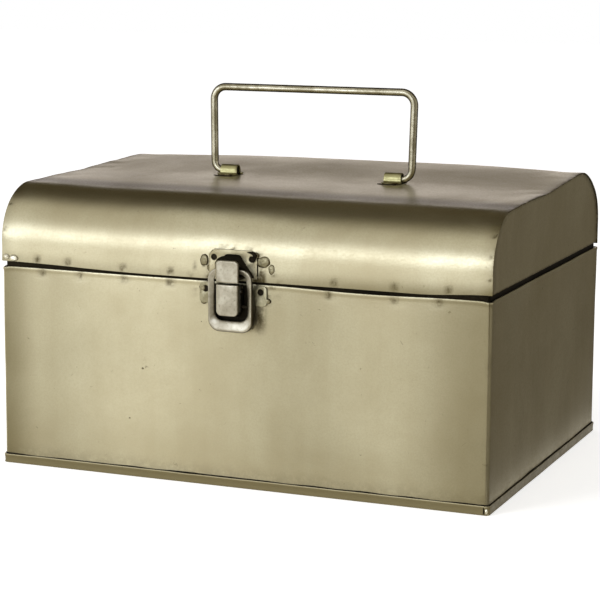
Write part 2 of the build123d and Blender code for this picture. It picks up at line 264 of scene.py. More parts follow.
# Materials
class Graph:
    """Short way to write a material's nodes."""

    def __init__(self, name):
        self.material = bpy.data.materials.new(name)
        self.material.use_nodes = True
        self.nodes = self.material.node_tree.nodes
        self.links = self.material.node_tree.links
        self.nodes.clear()
        self.output = self.nodes.new("ShaderNodeOutputMaterial")
        self.coordinates = self.nodes.new("ShaderNodeTexCoord").outputs["Object"]

    def put(self, kind, settings=None, **inputs):
        """Node of that kind; settings are its own values, inputs its sockets by name or number."""
        node = self.nodes.new(kind)
        for key, value in (settings or {}).items():
            setattr(node, key, value)
        for key, value in inputs.items():
            socket = node.inputs[int(key[1:])] if key[0] == "i" and key[1:].isdigit() else node.inputs[key]
            if isinstance(value, bpy.types.NodeSocket):
                self.links.new(value, socket)
            else:
                socket.default_value = value
        return node

    def noise(self, scale, detail, rough, stretch=(1, 1, 1), distortion=0.0):
        place = self.put("ShaderNodeMapping", Vector=self.coordinates, Scale=stretch).outputs[0]
        node = self.put("ShaderNodeTexNoise", Vector=place, Scale=scale, Detail=detail, Roughness=rough,
                        Distortion=distortion)
        return node.outputs["Fac"]

    def span(self, value, low, high, out_low=0.0, out_high=1.0):
        node = self.put("ShaderNodeMapRange", {"interpolation_type": "SMOOTHSTEP"}, i0=value, i1=low, i2=high,
                        i3=out_low, i4=out_high)
        return node.outputs[0]

    def math(self, operation, a, b=0.0):
        return self.put("ShaderNodeMath", {"operation": operation}, i0=a, i1=b).outputs[0]

    def mix(self, factor, a, b, blend="MIX"):
        node = self.nodes.new("ShaderNodeMix")
        node.data_type = "RGBA"
        node.blend_type = blend
        for socket, value in ((node.inputs[0], factor), (node.inputs[6], a), (node.inputs[7], b)):
            if isinstance(value, bpy.types.NodeSocket):
                self.links.new(value, socket)
            else:
                socket.default_value = value
        return node.outputs[2]

    def bump(self, height, distance, strength=1.0, normal=None):
        node = self.put("ShaderNodeBump", Height=height, Distance=distance, Strength=strength)
        if normal is not None:
            self.links.new(normal, node.inputs["Normal"])
        return node.outputs[0]

    def metal(self, color, roughness, normal):
        shader = self.put("ShaderNodeBsdfPrincipled", Roughness=roughness, Normal=normal, Metallic=1.0,
                          **{"Base Color": color})
        self.links.new(shader.outputs[0], self.output.inputs[0])
        return self.material


def srgb(r, g, b):
    """Linear colour with alpha from 0-255 screen values."""
    def linear(c):
        c /= 255
        return c / 12.92 if c <= 0.04045 else ((c + 0.055) / 1.055) ** 2.4
    return (linear(r), linear(g), linear(b), 1.0)


# Colours of the dirt and wear, of the painted shade and painted shadow, and how much clouds and streaks count
# in the sheet's tone
FLECK_COLOR = srgb(70, 60, 38)
# Tarnish colour, also used for painted shadow round the latch and painted shade on the base rim's right side
TARNISH_AND_SHADE_COLOR = srgb(62, 50, 28)
# Colour of the painted shade
SHADE_COLOR = srgb(96, 86, 56)
PIT_COLOR = srgb(96, 84, 58)
# Colour of the painted shade on the edges of plated parts, where they turn away from view
EDGE_SHADE_COLOR = srgb(40, 34, 21)
CLOUD_SHARE = 0.6
STREAK_SHARE = 0.2


def sheet_metal(name, light, dark, roughness=0.38, grime=0.5):
    """Satin lacquered sheet: cloudy tone, faint streaks, fine grain, dark flecks and stained welds, with
    painted shade and painted shadow mixed in from its marks.
    """
    g = Graph(name)
    cloud = g.noise(14, 5, 0.6, distortion=0.4)
    streaks = g.noise(60, 4, 0.6, stretch=(1, 1, 0.06))
    grain = g.noise(900, 2, 0.7)
    tone = g.math("ADD", g.math("MULTIPLY", cloud, CLOUD_SHARE), g.math("MULTIPLY", streaks, STREAK_SHARE))
    color = g.mix(g.span(tone, 0.25, 0.62), dark, light)
    color = g.mix(g.span(grain, 0.35, 0.7, 0.0, 0.34), color, dark)
    flecks = g.span(g.noise(170, 3, 0.7, distortion=0.8), 0.68, 0.76, 0.0, grime)
    color = g.mix(flecks, color, FLECK_COLOR)
    # The tarnish marks also carry painted shadow round the latch and painted shade on the base rim's right
    # side
    tarnish = g.put("ShaderNodeAttribute", {"attribute_name": "tarnish"}).outputs["Fac"]
    patchy = g.math("MULTIPLY", tarnish, g.span(g.noise(260, 4, 0.7), 0.25, 0.6))
    color = g.mix(patchy, color, TARNISH_AND_SHADE_COLOR)
    # Painted shade from the shade marks
    shade = g.put("ShaderNodeAttribute", {"attribute_name": "shade"}).outputs["Fac"]
    color = g.mix(shade, color, SHADE_COLOR)
    rough = g.math("ADD", g.span(grain, 0.3, 0.7, roughness - 0.04, roughness + 0.05),
                   g.span(cloud, 0.3, 0.7, 0.04, -0.02))
    rough = g.math("ADD", rough, g.math("MULTIPLY", patchy, 0.2))
    fine = g.bump(grain, 0.00012, 0.35)
    soft = g.bump(g.noise(45, 3, 0.5), 0.0006, 0.25, fine)
    return g.metal(color, rough, soft)


def worn_metal(name, light, dark, roughness=0.28, scratch=0.5, rim=0.24):
    """Handled plated metal: brighter where it is rubbed, with scratches, pits and stains, and painted shade
    that darkens it where it turns away from view.
    """
    g = Graph(name)
    cloud = g.noise(120, 5, 0.6, distortion=0.3)
    speck = g.span(g.noise(700, 3, 0.75), 0.54, 0.70)
    scratches = g.span(g.noise(240, 3, 0.6, stretch=(0.08, 1, 1)), 0.55, 0.70, 0.0, scratch)
    color = g.mix(g.span(cloud, 0.35, 0.65), dark, light)
    color = g.mix(g.math("MULTIPLY", speck, 0.45), color, PIT_COLOR)
    # Painted shade: darker where the surface turns away from view, in place of dark surroundings in its
    # reflection
    edge = g.put("ShaderNodeLayerWeight", Blend=0.5).outputs["Facing"]
    color = g.mix(g.span(edge, rim, rim + 0.4, 0.0, 0.9), color, EDGE_SHADE_COLOR)
    rough = g.math("ADD", g.span(cloud, 0.3, 0.7, roughness + 0.08, roughness),
                   g.math("MULTIPLY", scratches, 0.12))
    pits = g.bump(g.noise(520, 3, 0.7), 0.0001, 0.35)
    normal = g.bump(scratches, 0.00006, 0.4, pits)
    return g.metal(color, rough, normal)


sheet = sheet_metal("sheet_lacquer", srgb(190, 182, 150), srgb(166, 155, 122))
saddle_metal = sheet_metal("saddle_sheet", srgb(162, 155, 110), srgb(128, 121, 80))
# Near-black lip: painted shade in the gap under the lid
lip_shade_metal = sheet_metal("lip_sheet", srgb(40, 34, 22), srgb(20, 17, 11), 0.6)
latch_metal = worn_metal("latch_plating", srgb(168, 161, 140), srgb(140, 132, 111), 0.34)
keeper_metal = worn_metal("keeper_plating", srgb(166, 156, 124), srgb(146, 136, 105), 0.42)
plate_metal = worn_metal("plate_plating", srgb(150, 143, 114), srgb(124, 116, 88), 0.36)
weld_metal = sheet_metal("weld_bead", srgb(142, 134, 104), srgb(104, 95, 68), 0.42, grime=0.8)
bright_weld = sheet_metal("bright_weld", srgb(232, 226, 204), srgb(176, 168, 140), 0.34, grime=0.7)
# Near-black colour for painted shade in holes, slots, gaps and the keeper's window, and on the pins inside
# the latch
painted_shade_metal = sheet_metal("painted_shade_recess", srgb(46, 40, 29), srgb(20, 17, 11), 0.6)
wire_metal = worn_metal("wire_plating", srgb(176, 169, 144), srgb(136, 128, 102), 0.24, 0.7, 0.16)
hinge_metal = worn_metal("hinge_plating", srgb(176, 166, 134), srgb(120, 110, 82), 0.34)

# Lid: one wrapped sheet and two end plates set just inside its ends
LID_STRAIGHT = HEIGHT - LID_EDGE_R - LID_BOTTOM
LID_ARC = math.pi / 2 * LID_EDGE_R
LID_FLAT = DEPTH - 2 * LID_EDGE_R
LID_GIRTH = 2 * LID_STRAIGHT + 2 * LID_ARC + LID_FLAT
LID_WELDS = (-118.0, -99.5, -66.0, -38.0, 55.0, 88.0, 117.0)
BODY_WELDS = (-115.0, -91.5, -65.0, -38.0, 52.0, 88.0, 112.0)
END_RECESS = 0.6
END_INSET = 0.75
LID_CROWN = 2.7
LID_TILT = 2.0
LID_SWELL = 0.9
LID_REAR_DIP = 0.9
FRONT_SAG = 1.6
REAR_SAG = 0.9
END_SPOTS = {1: (7.8, 20.5, 32.0), -1: (18.0, 33.0)}


def lid_profile(s):
    """Point (y, z) and outward normal at arc length s from the lid's front lower edge to the rear one."""
    if s > LID_GIRTH / 2:
        (y, z), (ny, nz) = lid_profile(LID_GIRTH - s)
        return (-y, z), (-ny, nz)
    spring = HEIGHT - LID_EDGE_R
    if s < LID_STRAIGHT:
        return (-DEPTH / 2, LID_BOTTOM + s), (-1.0, 0.0)
    if s < LID_STRAIGHT + LID_ARC:
        angle = (s - LID_STRAIGHT) / LID_EDGE_R
        y = -DEPTH / 2 + LID_EDGE_R - LID_EDGE_R * math.cos(angle)
        return (y, spring + LID_EDGE_R * math.sin(angle)), (-math.cos(angle), math.sin(angle))
    return (-DEPTH / 2 + LID_EDGE_R + s - LID_STRAIGHT - LID_ARC, HEIGHT), (0.0, 1.0)


def lid_point(s, x):
    """Point and normal of the real lid, whose top rises a little towards the rear, most at its right end."""
    (y, z), (ny, nz) = lid_profile(s)
    inner = smoothstep(138, 60, abs(x))
    rise = LID_CROWN + x / WIDTH * LID_TILT + LID_SWELL * inner
    rise *= smoothstep(-14, 66, y)
    rise *= smoothstep(92 + 4 * inner, 60 + 10 * inner, y)
    fall = 0.4 + 1.3 * smoothstep(-140, -95, x)
    rise -= LID_REAR_DIP * bump_at(y, 85, 17) + fall * smoothstep(-40, -98, y) * max(0.0, nz)
    return (y, z + rise), (ny, nz)


def weld_mark(places, x, edge, reach=4.5):
    """1 at the middle of a spot weld near an edge, 0 away from it."""
    return max(bump_at(x, place, reach) for place in places) * bump_at(edge, 2.2, reach)


def lid_dent(x, s):
    """How far the lid's sheet stands in from its true form, in millimetres, as a number below 0."""
    edge = min(s, LID_GIRTH - s)
    depth = 0.22 * wave(x, s, 0, 55, 3) + 0.07 * wave(x, s, 0, 16, 7)
    depth -= 0.22 * weld_mark(LID_WELDS, x, edge)
    depth += 0.22 * smoothstep(26, 4, edge) * math.sin(x / 13.0 + 2 * wave(x, 0, 0, 60, 5))
    end = smoothstep(112, 139, abs(x))
    depth += end * (0.35 * wave(s, x, 0, 12, 9) - 0.3)
    for side in (-1, 1):
        depth -= 0.4 * bump_at(x, side * SADDLE_X, 11) * bump_at(s, LID_GIRTH / 2, 16)
    return min(0.0, depth - 0.2)


def latch_grime_and_shadow(x, z):
    """Stains round the latch from its tack welds, and painted shadow beside the ring and the keeper."""
    near = max(0.0, 1 - math.hypot((x + 1) / 30, (z - 112) / 22))
    spots = smoothstep(0.05, 0.45, wave(x, z, 0, 3.2, 77)) * smoothstep(0.0, 0.35, near)
    # Painted shadow to the right of the ring's lower half and of its top, to the left of the ring, and beside
    # the keeper's upper right corner
    shadow = 1.1 * bump_at(x, 13.6, 4.4) * bump_at(z, 92, 11)
    shadow += 1.5 * bump_at(x, 14.8, 3.0) * bump_at(z, 114, 7)
    shadow += (0.6 * bump_at(x, -15.5, 4.0) * bump_at(z, 108, 16)
               + 0.6 * bump_at(x, 13.0, 4.0) * bump_at(z, 125, 3))
    return spots + shadow


def build_lid_cover():
    rows, columns = 200, 160
    half = WIDTH / 2

    def where(i, j):
        t = 2 * j / (columns - 1) - 1
        return half * (1.08 * t - 0.08 * t ** 3), LID_GIRTH * i / (rows - 1)

    def place(i, j, inset):
        x, s = where(i, j)
        (y, z), (ny, nz) = lid_point(s, x)
        push = lid_dent(x, s) - inset
        rear = REAR_SAG * smoothstep(110, 138, x) * smoothstep(16, 0, LID_GIRTH - s)
        sag = rear + FRONT_SAG * smoothstep(-138, -50, x) * smoothstep(138, 100, x) * smoothstep(16, 0, s)
        return (x, y + ny * push, z + nz * push - sag)

    def darkening(i, j):
        x, s = where(i, j)
        edge = min(s, LID_GIRTH - s)
        seam = smoothstep(half - 2.0, half - 0.5, abs(x))
        seam *= 0.9 if s > 50 else 0.35 * smoothstep(-0.2, 0.4, wave(s, 0, 0, 9, 21))
        tacks = END_SPOTS[1 if x > 0 else -1]
        spots = max(bump_at(s, tack, 1.6) for tack in tacks) * bump_at(abs(x), half - 1.9, 1.4)
        # Grime and painted shadow round the latch
        grime = latch_grime_and_shadow(x, LID_BOTTOM + s) if s < 30 else 0.0
        return min(1.0, 1.1 * weld_mark(LID_WELDS, x, edge, 3.0) + seam + grime + 1.3 * spots)

    # Painted shade: darker near the lower edges and the ends, in bands across the front curve and the front
    # of the top, and low on the right of the front; a random cloudy tone is added
    def shade(i, j):
        x, s = where(i, j)
        edge = min(s, LID_GIRTH - s)
        ends = 0.25 * smoothstep(half - 9, half, abs(x))
        right = smoothstep(-20, 60, x)
        ends += (0.8 * bump_at(s, 66, 18) + 0.4 * bump_at(s, 44 - 5 * right, 13)
                 + 0.22 * right * bump_at(s, 37, 8) + 0.36 * smoothstep(12, 0, s) * right)
        return min(1.0, 0.36 * smoothstep(7, 0, edge) + ends + 0.12 * max(0.0, wave(x, s, 0, 40, 91)))

    item = shell("lid_skin", rows, columns, lambda i, j: place(i, j, 0),
                 lambda i, j: place(i, j, SHEET - 0.2), tarnish=darkening, shade=shade)
    round_edges(item, 0.25)
    dress(item, sheet, "lid")
    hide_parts("lid_cover")


def lid_outline(inset, x, count=160):
    """Points (y, z) round the lid's end, drawn inset, from the front lower corner to the rear one."""
    points = []
    for i in range(count):
        (y, z), (ny, nz) = lid_point(LID_GIRTH * i / (count - 1), x)
        points.append((y - ny * inset, z - nz * inset))
    return points


def build_lid_end(side_name, side):
    """End plate: rings of points from its outline in to its middle, slightly buckled."""
    outline = lid_outline(END_INSET, side * WIDTH / 2)
    rings = 26
    middle = Vector((0, (HEIGHT + LID_BOTTOM) / 2 - 4))
    count = len(outline)

    def place(i, j, thickness):
        y, z = outline[j]
        t = 1 - i / rings
        y, z = middle.x + (y - middle.x) * t, middle.y + (z - middle.y) * t
        buckle = 0.28 * wave(y, z, side, 38, 12) - 0.35 * smoothstep(0.0, 0.5, 1 - t)
        z -= (1.2 + 0.6 * smoothstep(-30, 70, y)) * smoothstep(12, 0, z - LID_BOTTOM) * bump_at(y, 0, 100)
        return (side * (WIDTH / 2 - END_RECESS + min(0.45, buckle) - thickness), y, z)

    points = [place(i, j, th) for th in (0, SHEET) for i in range(rings) for j in range(count)]
    points += [(side * (WIDTH / 2 - END_RECESS - 0.3 - th), middle.x, middle.y) for th in (0, SHEET)]
    base = rings * count
    faces = []
    for layer in (0, 1):
        start = layer * base
        for i in range(rings - 1):
            for j in range(count):
                a, b = start + i * count + j, start + i * count + (j + 1) % count
                faces.append((a, b, b + count, a + count))
        last = start + (rings - 1) * count
        faces += [(last + j, last + (j + 1) % count, 2 * base + layer) for j in range(count)]
    faces += [(j, (j + 1) % count, base + (j + 1) % count, base + j) for j in range(count)]
    one_side = [0.95 * smoothstep(1.6, 0, i) for i in range(rings) for _ in range(count)]
    darkening = one_side * 2 + [0.0, 0.0]
    item = new_object(f"lid_end_skin_{side_name}", points, faces, {"tarnish": darkening})
    dress(item, sheet, "lid")
    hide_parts(f"lid_end_{side_name}")


# Body: one band round four corners, with a hemmed top edge that dips at the corners and in front
CORNER_DIP = 0.6
REAR_CORNER_DIP = 0.1
FRONT_DIP = 0.9
FRONT_DIP_X = 72


def band_outline(half_x, half_y, radius, step=2.6, arc=10):
    """Points (x, y), outward normals and distance from the nearest corner, round a rounded rectangle."""
    spots = []
    corners = [(1, -1, -90), (1, 1, 0), (-1, 1, 90), (-1, -1, 180)]
    for k, (sx, sy, start) in enumerate(corners):
        cx, cy = sx * (half_x - radius), sy * (half_y - radius)
        for a in range(arc + 1):
            angle = math.radians(start + 90 * a / arc)
            nx, ny = math.cos(angle), math.sin(angle)
            spots.append((cx + radius * nx, cy + radius * ny, nx, ny, 0.0))
        nx, ny = math.cos(math.radians(start + 90)), math.sin(math.radians(start + 90))
        length = 2 * ((half_y if k % 2 == 0 else half_x) - radius)
        tx, ty = -ny, nx
        x0, y0 = cx + radius * nx, cy + radius * ny
        count = int(length / step)
        for a in range(1, count):
            run = length * a / count
            spots.append((x0 + tx * run, y0 + ty * run, nx, ny, min(run, length - run)))
    return spots


def build_body_shell():
    outline = band_outline(WIDTH / 2, DEPTH / 2, CORNER_R)
    rows = 84

    def where(i, j):
        x, y, nx, ny, gap = outline[j]
        top = BODY_TOP - (CORNER_DIP if y < 0 else REAR_CORNER_DIP) * bump_at(gap, 0, 3.5)
        if ny < -0.9:
            top -= FRONT_DIP * bump_at(x, FRONT_DIP_X, 50)
        t = 0.5 - 0.5 * math.cos(math.pi * i / (rows - 1))
        return x, y, nx, ny, gap, SHEET + (top - SHEET) * t, top

    def place(i, j, inset):
        x, y, nx, ny, gap, z, top = where(i, j)
        front = abs(ny) > 0.9
        run = x if front else y
        depth = 0.35 * wave(x, y, z, 70, 31) + 0.10 * wave(x, y, z, 20, 33)
        depth -= 0.45 * smoothstep(0, 60, gap) * bump_at(z, 58, 60)
        if front:
            depth -= 0.22 * weld_mark(BODY_WELDS, run, top - z)
        depth += 0.18 * smoothstep(24, 4, top - z) * math.sin(run / 15.0 + 2 * wave(run, 0, 0, 70, 35))
        depth = min(0.0, depth - 0.15)
        depth += 0.28 * bump_at(z, top - 0.8, 1.5)
        depth *= 1 - 0.7 * smoothstep(8, 0, z)
        return (x + nx * (depth - inset), y + ny * (depth - inset), z)

    def darkening(i, j):
        x, _, _, ny, gap, z, top = where(i, j)
        # Darker towards the foot of the wall
        foot = 0.25 * smoothstep(14, 5.0, z)
        spots = 1.0 * weld_mark(BODY_WELDS, x, top - z, 3.4) if abs(ny) > 0.9 else 0.0
        corner = 0.35 * bump_at(gap, 0, 1.6) * smoothstep(-0.1, 0.5, wave(z, 0, 0, 14, 41))
        # Grime and painted shadow round the latch
        grime = latch_grime_and_shadow(x, z) if ny < -0.9 else 0.0
        return min(1.0, foot + spots + corner + grime)

    # Painted shade: on the front and back, darker at both ends, over the part right of the middle and low
    # down; on the left and right sides, darker next to the corners; a random cloudy tone is added
    def shade(i, j):
        x, y, _, ny, gap, z, _ = where(i, j)
        cloudy = 0.12 * max(0.0, wave(x, y, z, 45, 93))
        if abs(ny) < 0.9:
            return cloudy + 0.1 * smoothstep(10, 0, gap)
        side = -ny * x
        ends = (0.28 * smoothstep(-66, -112, side) + 0.45 * smoothstep(-116, -139, side)
                + 0.42 * smoothstep(84, 134, side))
        middle = 0.27 * smoothstep(-55, 20, side) + 0.12 * bump_at(side, 36, 40)
        low = smoothstep(50, 10, z)
        return min(1.0, ends + middle * (1 - 0.3 * low) + cloudy + 0.1 * low)

    item = shell("body_skin", rows, len(outline), lambda i, j: place(i, j, 0),
                 lambda i, j: place(i, j, SHEET), closed_columns=True, tarnish=darkening, shade=shade)
    round_edges(item, 0.3)
    dress(item, sheet, "body")
    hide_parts("body_shell")

    def line(i, j, out):
        x, y, nx, ny, _ = outline[j]
        z = 4.2 + i * (0.52 + 0.22 * wave(x, y, 0, 16, 71))
        return (x + nx * out, y + ny * out, z)

    # Near-black strip of painted shade in the gap where the wall meets the rim
    seam = shell("rim_seam_shade", 3, len(outline), lambda i, j: line(i, j, 0.35), lambda i, j: line(i, j, -0.3),
                 closed_columns=True)
    dress(seam, painted_shade_metal, "body")


def build_base():
    outline = band_outline(WIDTH / 2 + RIM_THICKNESS, DEPTH / 2 + RIM_THICKNESS, CORNER_R + 0.6)
    levels = [0.0, 0.25, 0.5, 1.0, 2.0, 3.0, 3.9, 4.4, 4.7, 4.85, 4.9]

    def place(i, j, inset):
        x, y, nx, ny, gap = outline[j]
        z = levels[i]
        z -= (z / RIM_HEIGHT) * (0.9 * bump_at(gap, 1.2, 1.4) + 0.25 * max(0.0, wave(x, y, 0, 18, 51)))
        depth = 0.12 * wave(x, y, 0, 30, 53) - 0.12
        depth -= 0.25 * smoothstep(4.2, 2.5, z) + 0.5 * bump_at(gap, 1.2, 1.0)
        return (x + nx * (depth - inset), y + ny * (depth - inset), max(0.0, z))

    # Painted shade on the rim's right-facing side; the rim also darkens at its very bottom and in a faint
    # line under its top bead
    def darkening(i, j):
        side = 0.55 * smoothstep(0.2, 0.9, outline[j][2])
        return min(1.0, side + 0.2 * bump_at(levels[i], 3.6, 0.8) + 0.5 * smoothstep(1.0, 0.0, levels[i]))

    # Painted shade: the rim's face darker below its bright top bead
    def shade(i, j):
        return 0.85 * smoothstep(4.75, 4.3, levels[i])

    rim = shell("base_rim", len(levels), len(outline), lambda i, j: place(i, j, 0),
                lambda i, j: place(i, j, 0.95), closed_columns=True, tarnish=darkening, shade=shade)
    round_edges(rim, 0.25)
    dress(rim, sheet, "body")
    rows, columns = 60, 80

    def plate(i, j, z):
        x = (WIDTH / 2 + 0.2) * (2 * j / (columns - 1) - 1)
        y = (DEPTH / 2 + 0.2) * (2 * i / (rows - 1) - 1)
        inner = smoothstep(0, 12, min(WIDTH / 2 - abs(x), DEPTH / 2 - abs(y)))
        return (x, y, z + inner * (0.3 + 0.15 * wave(x, y, 0, 50, 57)))

    floor = shell("base_floor", rows, columns, lambda i, j: plate(i, j, 0.02),
                  lambda i, j: plate(i, j, SHEET))
    dress(floor, sheet, "body")
    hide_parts("bottom_pan")
    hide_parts("bottom_pan")


# Handle: a hand-bent wire in two saddles
def rounded_path(corners, radii, step=6):
    """Points along straight runs in the XZ plane whose corners are arcs, dense in the bends."""
    path = [Vector(corners[0])]
    for k in range(1, len(corners) - 1):
        before, at, after = (Vector(corners[k + d]) for d in (-1, 0, 1))
        radius = radii[k - 1]
        a, b = (before - at).normalized(), (after - at).normalized()
        half = a.angle(b) / 2
        reach = radius / math.tan(half)
        middle = at + (a + b).normalized() * (radius / math.sin(half))
        first, last = at + a * reach - middle, at + b * reach - middle
        turn = first.angle(last)
        for n in range(13):
            t = n / 12
            swing = first * math.sin((1 - t) * turn) + last * math.sin(t * turn)
            path.append(middle + swing / math.sin(turn))
    path.append(Vector(corners[-1]))
    full = [path[0]]
    for a, b in zip(path, path[1:]):
        count = max(1, int((b - a).length / step))
        full += [a.lerp(b, n / count) for n in range(1, count + 1)]
    return full


def build_handle():
    left, right = -HANDLE_LEG + HANDLE_SHIFT_LEFT, HANDLE_LEG + HANDLE_SHIFT_RIGHT
    path = rounded_path(
        [(-WIRE_TIP, 0, WIRE_Z), (left + 0.5, 0, WIRE_Z), (left, 0, HANDLE_TOP - 0.7),
         (right, 0, HANDLE_TOP - 0.2), (right - 1.3, 0, WIRE_Z), (WIRE_TIP, 0, WIRE_Z)],
        [HANDLE_FOOT_R - 1.2, HANDLE_TOP_R, HANDLE_TOP_R, HANDLE_FOOT_R - 0.6], step=2)

    def radius(i, angle):
        p = path[i]
        girth = WIRE_SLIM + WIRE_SWELL * smoothstep(WIRE_Z + 3, WIRE_Z + 9, p.z)
        return WIRE_R * girth + WIRE_WAVER * wave(p.x + 4 * math.cos(angle), angle, p.z, 6, 61)

    item = tube("handle_wire", path, radius)
    round_edges(item, 0.3, angle=60)
    dress(item, wire_metal, "handle")
    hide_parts("handle_bail")


def build_saddle(side_name, side):
    """Strip arched over the wire: foot, leg, arch, leg, foot, with the feet flared and rounded."""
    radius = SADDLE_BORE + SADDLE_SHEET / 2
    low = HEIGHT + SADDLE_SHEET / 2
    track = []
    for n in range(7):
        track.append((-radius - 0.8 - SADDLE_FOOT * (1 - n / 6), low))
    track += [(-radius - 0.3, low + 0.15), (-radius, low + 0.6)]
    for n in range(19):
        angle = math.pi * (1 - n / 18)
        track.append((radius * math.cos(angle), WIRE_Z + SADDLE_ARCH * radius * math.sin(angle)))
    track += [(-y, z) for y, z in reversed(track[:9])]
    columns = 11
    shift = SADDLE_SHIFT_LEFT if side < 0 else 0.0

    def half_width(y):
        reach = abs(y) - radius
        if reach <= 0.8:
            return 5.0 + 0.5 * smoothstep(-0.5, 0.8, reach)
        return 6.0 * math.sqrt(max(0.02, 1 - ((reach - 0.8) / (SADDLE_FOOT + 0.3)) ** 2.6))

    def place(i, j, offset):
        y, z = track[i]
        y1, z1 = track[max(0, i - 1)]
        y2, z2 = track[min(len(track) - 1, i + 1)]
        along = Vector((y2 - y1, z2 - z1)).normalized()
        t = 2 * j / (columns - 1) - 1
        return (side * SADDLE_X + shift + t * half_width(y), y - along.y * offset, z + along.x * offset)

    # Darker at the tips of the feet and along the strip's right edge
    def darkening(i, j):
        return 0.9 * smoothstep(6.2, 7.2, abs(track[i][0])) + 0.5 * bump_at(j, columns - 1, 1.5)

    item = shell(f"saddle_strip_{side_name}", len(track), columns, lambda i, j: place(i, j, SADDLE_SHEET / 2),
                 lambda i, j: place(i, j, -SADDLE_SHEET / 2), tarnish=darkening)
    round_edges(item, 0.2)
    dress(item, saddle_metal, "lid")
    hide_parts(f"handle_saddle_{side_name}")
    ends = [Vector((side * x, 0, WIRE_Z)) for x in (44.8 if side < 0 else 45.6, 46.5)]
    inside = tube(f"saddle_shadow_{side_name}", ends, lambda i, angle: 1.95)
    dress(inside, painted_shade_metal, "lid")
    x = side * SADDLE_X + shift
    # Painted shadow in the slot beside the saddle and along the front lip of its feet
    flat_shadow_mark(f"saddle_slot_shadow_{side_name}", x + 2.0, x + 9.0, 0.2, 1.4)
    flat_shadow_mark(f"saddle_lip_shadow_{side_name}", x - 7.0, x + 4.0, -8.6, -6.4)


def flat_shadow_mark(name, left, right, front, back):
    """Slim dark patch of painted shadow set into the lid's top sheet."""
    def place(i, j, z):
        u, v = j / 11, i / 5
        across = 0.5 + (v - 0.5) * math.sin(math.pi * (0.05 + 0.9 * u))
        return (left + (right - left) * u, front + (back - front) * across, z)

    item = shell(name, 6, 12, lambda i, j: place(i, j, HEIGHT + 0.06), lambda i, j: place(i, j, HEIGHT - 0.5))
    dress(item, painted_shade_metal, "lid")


# Latch
def between(a, b, run):
    """Points that cut the line from a to b into run parts, without its ends."""
    return [(a[0] + (b[0] - a[0]) * n / run, a[1] + (b[1] - a[1]) * n / run) for n in range(1, run)]


def rounded_box(left, right, bottom, top, low_r, high_r, arc=10, run=10):
    """Points (x, z) round a rectangle with round corners, the same count whatever the size."""
    spots = []
    corners = [(right, bottom, low_r, -90), (right, top, high_r, 0), (left, top, high_r, 90),
               (left, bottom, low_r, 180)]
    for x, z, radius, start in corners:
        cx = x - radius if x == right else x + radius
        cz = z - radius if z == top else z + radius
        turns = [math.radians(start + 90 * a / arc) for a in range(arc + 1)]
        arc_points = [(cx + radius * math.cos(turn), cz + radius * math.sin(turn)) for turn in turns]
        if spots:
            spots += between(spots[-1], arc_points[0], run)
        spots += arc_points
    return spots + between(spots[-1], spots[0], run)


def build_loop():
    """Smooth closed ring: a broad finger bar below, slim sides, and a slim bar set back above."""
    outer = rounded_box(LOOP_LEFT, LOOP_RIGHT, LOOP_BOTTOM, LOOP_TOP, 6.2, 6.0)
    inner = rounded_box(LOOP_LEFT + LOOP_SIDE, LOOP_RIGHT - LOOP_SIDE, LOOP_BOTTOM + LOOP_FOOT,
                        LOOP_TOP - LOOP_BAR, 4.4, 3.8)
    sides = 40
    points = []
    for (ox, oz), (ix, iz) in zip(outer, inner):
        back = LOOP_BACK + (LOOP_FRONT - LOOP_BAR - LOOP_BACK) * smoothstep(100, 113, (oz + iz) / 2)
        deep = (LOOP_FRONT - back) / 2
        for s in range(sides):
            c, d = math.cos(math.tau * s / sides), math.sin(math.tau * s / sides)
            across = math.copysign(abs(c) ** LOOP_SQUARE_ACROSS, c)
            out = math.copysign(abs(d) ** LOOP_SQUARE_OUT, d)
            dish = LOOP_DISH * (1 - across) / 2 * max(0.0, out) * min(1.0, deep / 2)
            x = (ox + ix) / 2 + (ox - ix) / 2 * across
            z = (oz + iz) / 2 + (oz - iz) / 2 * across
            points.append((x, -DEPTH / 2 - (LOOP_FRONT + back) / 2 - deep * out + dish, z))
    count = len(outer)
    faces = []
    for i in range(count):
        for s in range(sides):
            a, b = i * sides + s, i * sides + (s + 1) % sides
            n = ((i + 1) % count) * sides
            faces.append((a, b, n + (s + 1) % sides, n + s))
    item = new_object("latch_ring", points, faces)
    dress(item, latch_metal, "loop")
    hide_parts("latch_loop")


